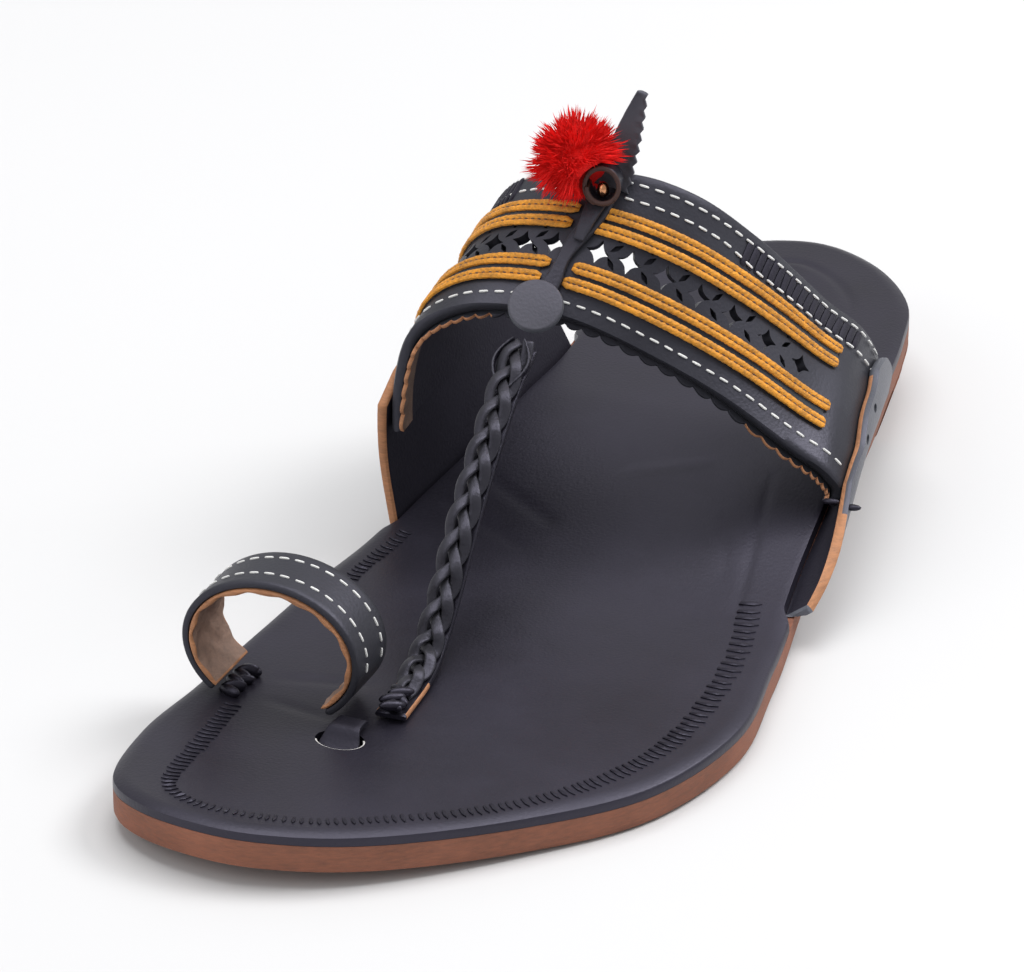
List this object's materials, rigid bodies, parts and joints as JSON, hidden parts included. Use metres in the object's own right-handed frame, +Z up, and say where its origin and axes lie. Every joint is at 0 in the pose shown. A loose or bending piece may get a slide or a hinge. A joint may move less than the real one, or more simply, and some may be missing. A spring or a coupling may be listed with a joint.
{
  "type": "toe-ring sandal",
  "caption": "Open leather sandal for the left foot: contoured flat sole on a low heel, arched instep band with cords and cut-outs, braid to a toe ring, pompom and leaf.",
  "frame": {"origin": "Middle of the bounding box, on the floor under the sole", "axes": "+Y runs along the foot from toe to heel, +X is the little-toe side, +Z is up"},
  "size_m": [0.1096, 0.277, 0.1037],
  "materials": {
    "sole_leather": "brown stacked leather with a satin edge",
    "black_leather": "black satin leather, slightly purple where lit",
    "thong_leather": "dark grey-black dressed leather",
    "gold_cord": "golden yellow twisted cord",
    "brass": "polished, copper coloured",
    "red_thread": "soft red thread, fluffed"
  },
  "bodies": {
    "root": {"outsole": "sole_leather", "heel": "sole_leather", "insole": "black_leather", "ear_lateral": "black_leather", "ear_medial": "black_leather", "band": "black_leather", "cord_front_lower_medial": "gold_cord", "cord_front_lower_lateral": "gold_cord", "cord_front_upper_medial": "gold_cord", "cord_front_upper_lateral": "gold_cord", "cord_rear_lower_medial": "gold_cord", "cord_rear_lower_lateral": "gold_cord", "cord_rear_upper_medial": "gold_cord", "cord_rear_upper_lateral": "gold_cord", "edge_lacing_medial": "black_leather", "edge_lacing_lateral": "black_leather", "disc": "thong_leather", "centre_thong": "thong_leather", "curl": "thong_leather", "bead": "brass", "leaf": "thong_leather", "pompom": "red_thread", "toe_ring": "black_leather", "ring_lacing": "thong_leather", "slot_tab": "thong_leather", "braid": "thong_leather", "braid_backing": "thong_leather"}
  },
  "joints": []
}
